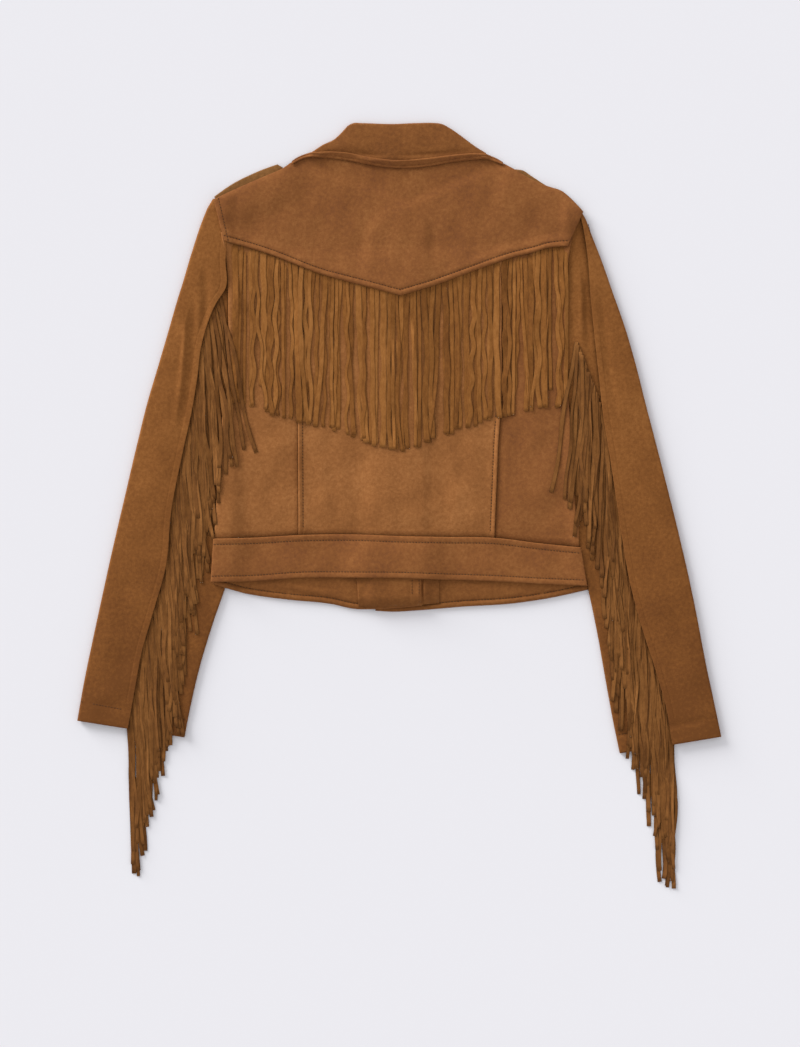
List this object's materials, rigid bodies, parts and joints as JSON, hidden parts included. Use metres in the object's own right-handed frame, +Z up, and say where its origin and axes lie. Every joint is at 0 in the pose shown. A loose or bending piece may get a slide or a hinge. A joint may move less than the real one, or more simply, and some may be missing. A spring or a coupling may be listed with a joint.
{
  "type": "fringed suede jacket lying flat",
  "caption": "Cropped suede jacket laid flat on its front, with a pointed back yoke and long fringe on the yoke and both sleeves.",
  "frame": {"origin": "centre of the jacket's box in plan, on the plane it lies on", "axes": "+Z up out of the back, +Y towards the collar, +X towards the sleeve on the right as seen from above"},
  "size_m": [0.7078, 0.8374, 0.0121],
  "materials": {
    "suede": "napped faux suede, matte",
    "fringe": "cut suede strands, matte"
  },
  "bodies": {
    "root": {"back_centre": "suede", "back_side_left": "suede", "back_side_right": "suede", "back_yoke": "suede", "back_waistband": "suede", "front_left": "suede", "front_right": "suede", "front_hem_band_left": "suede", "front_hem_band_right": "suede", "front_facing_left": "suede", "collar_stand": "suede", "collar_leaf": "suede", "epaulette_left": "suede", "epaulette_right": "suede", "sleeve_left_top": "suede", "sleeve_left_under": "suede", "sleeve_right_top": "suede", "sleeve_right_under": "suede", "back_fringe": "fringe", "sleeve_left_fringe": "fringe", "sleeve_right_fringe": "fringe"}
  },
  "joints": []
}
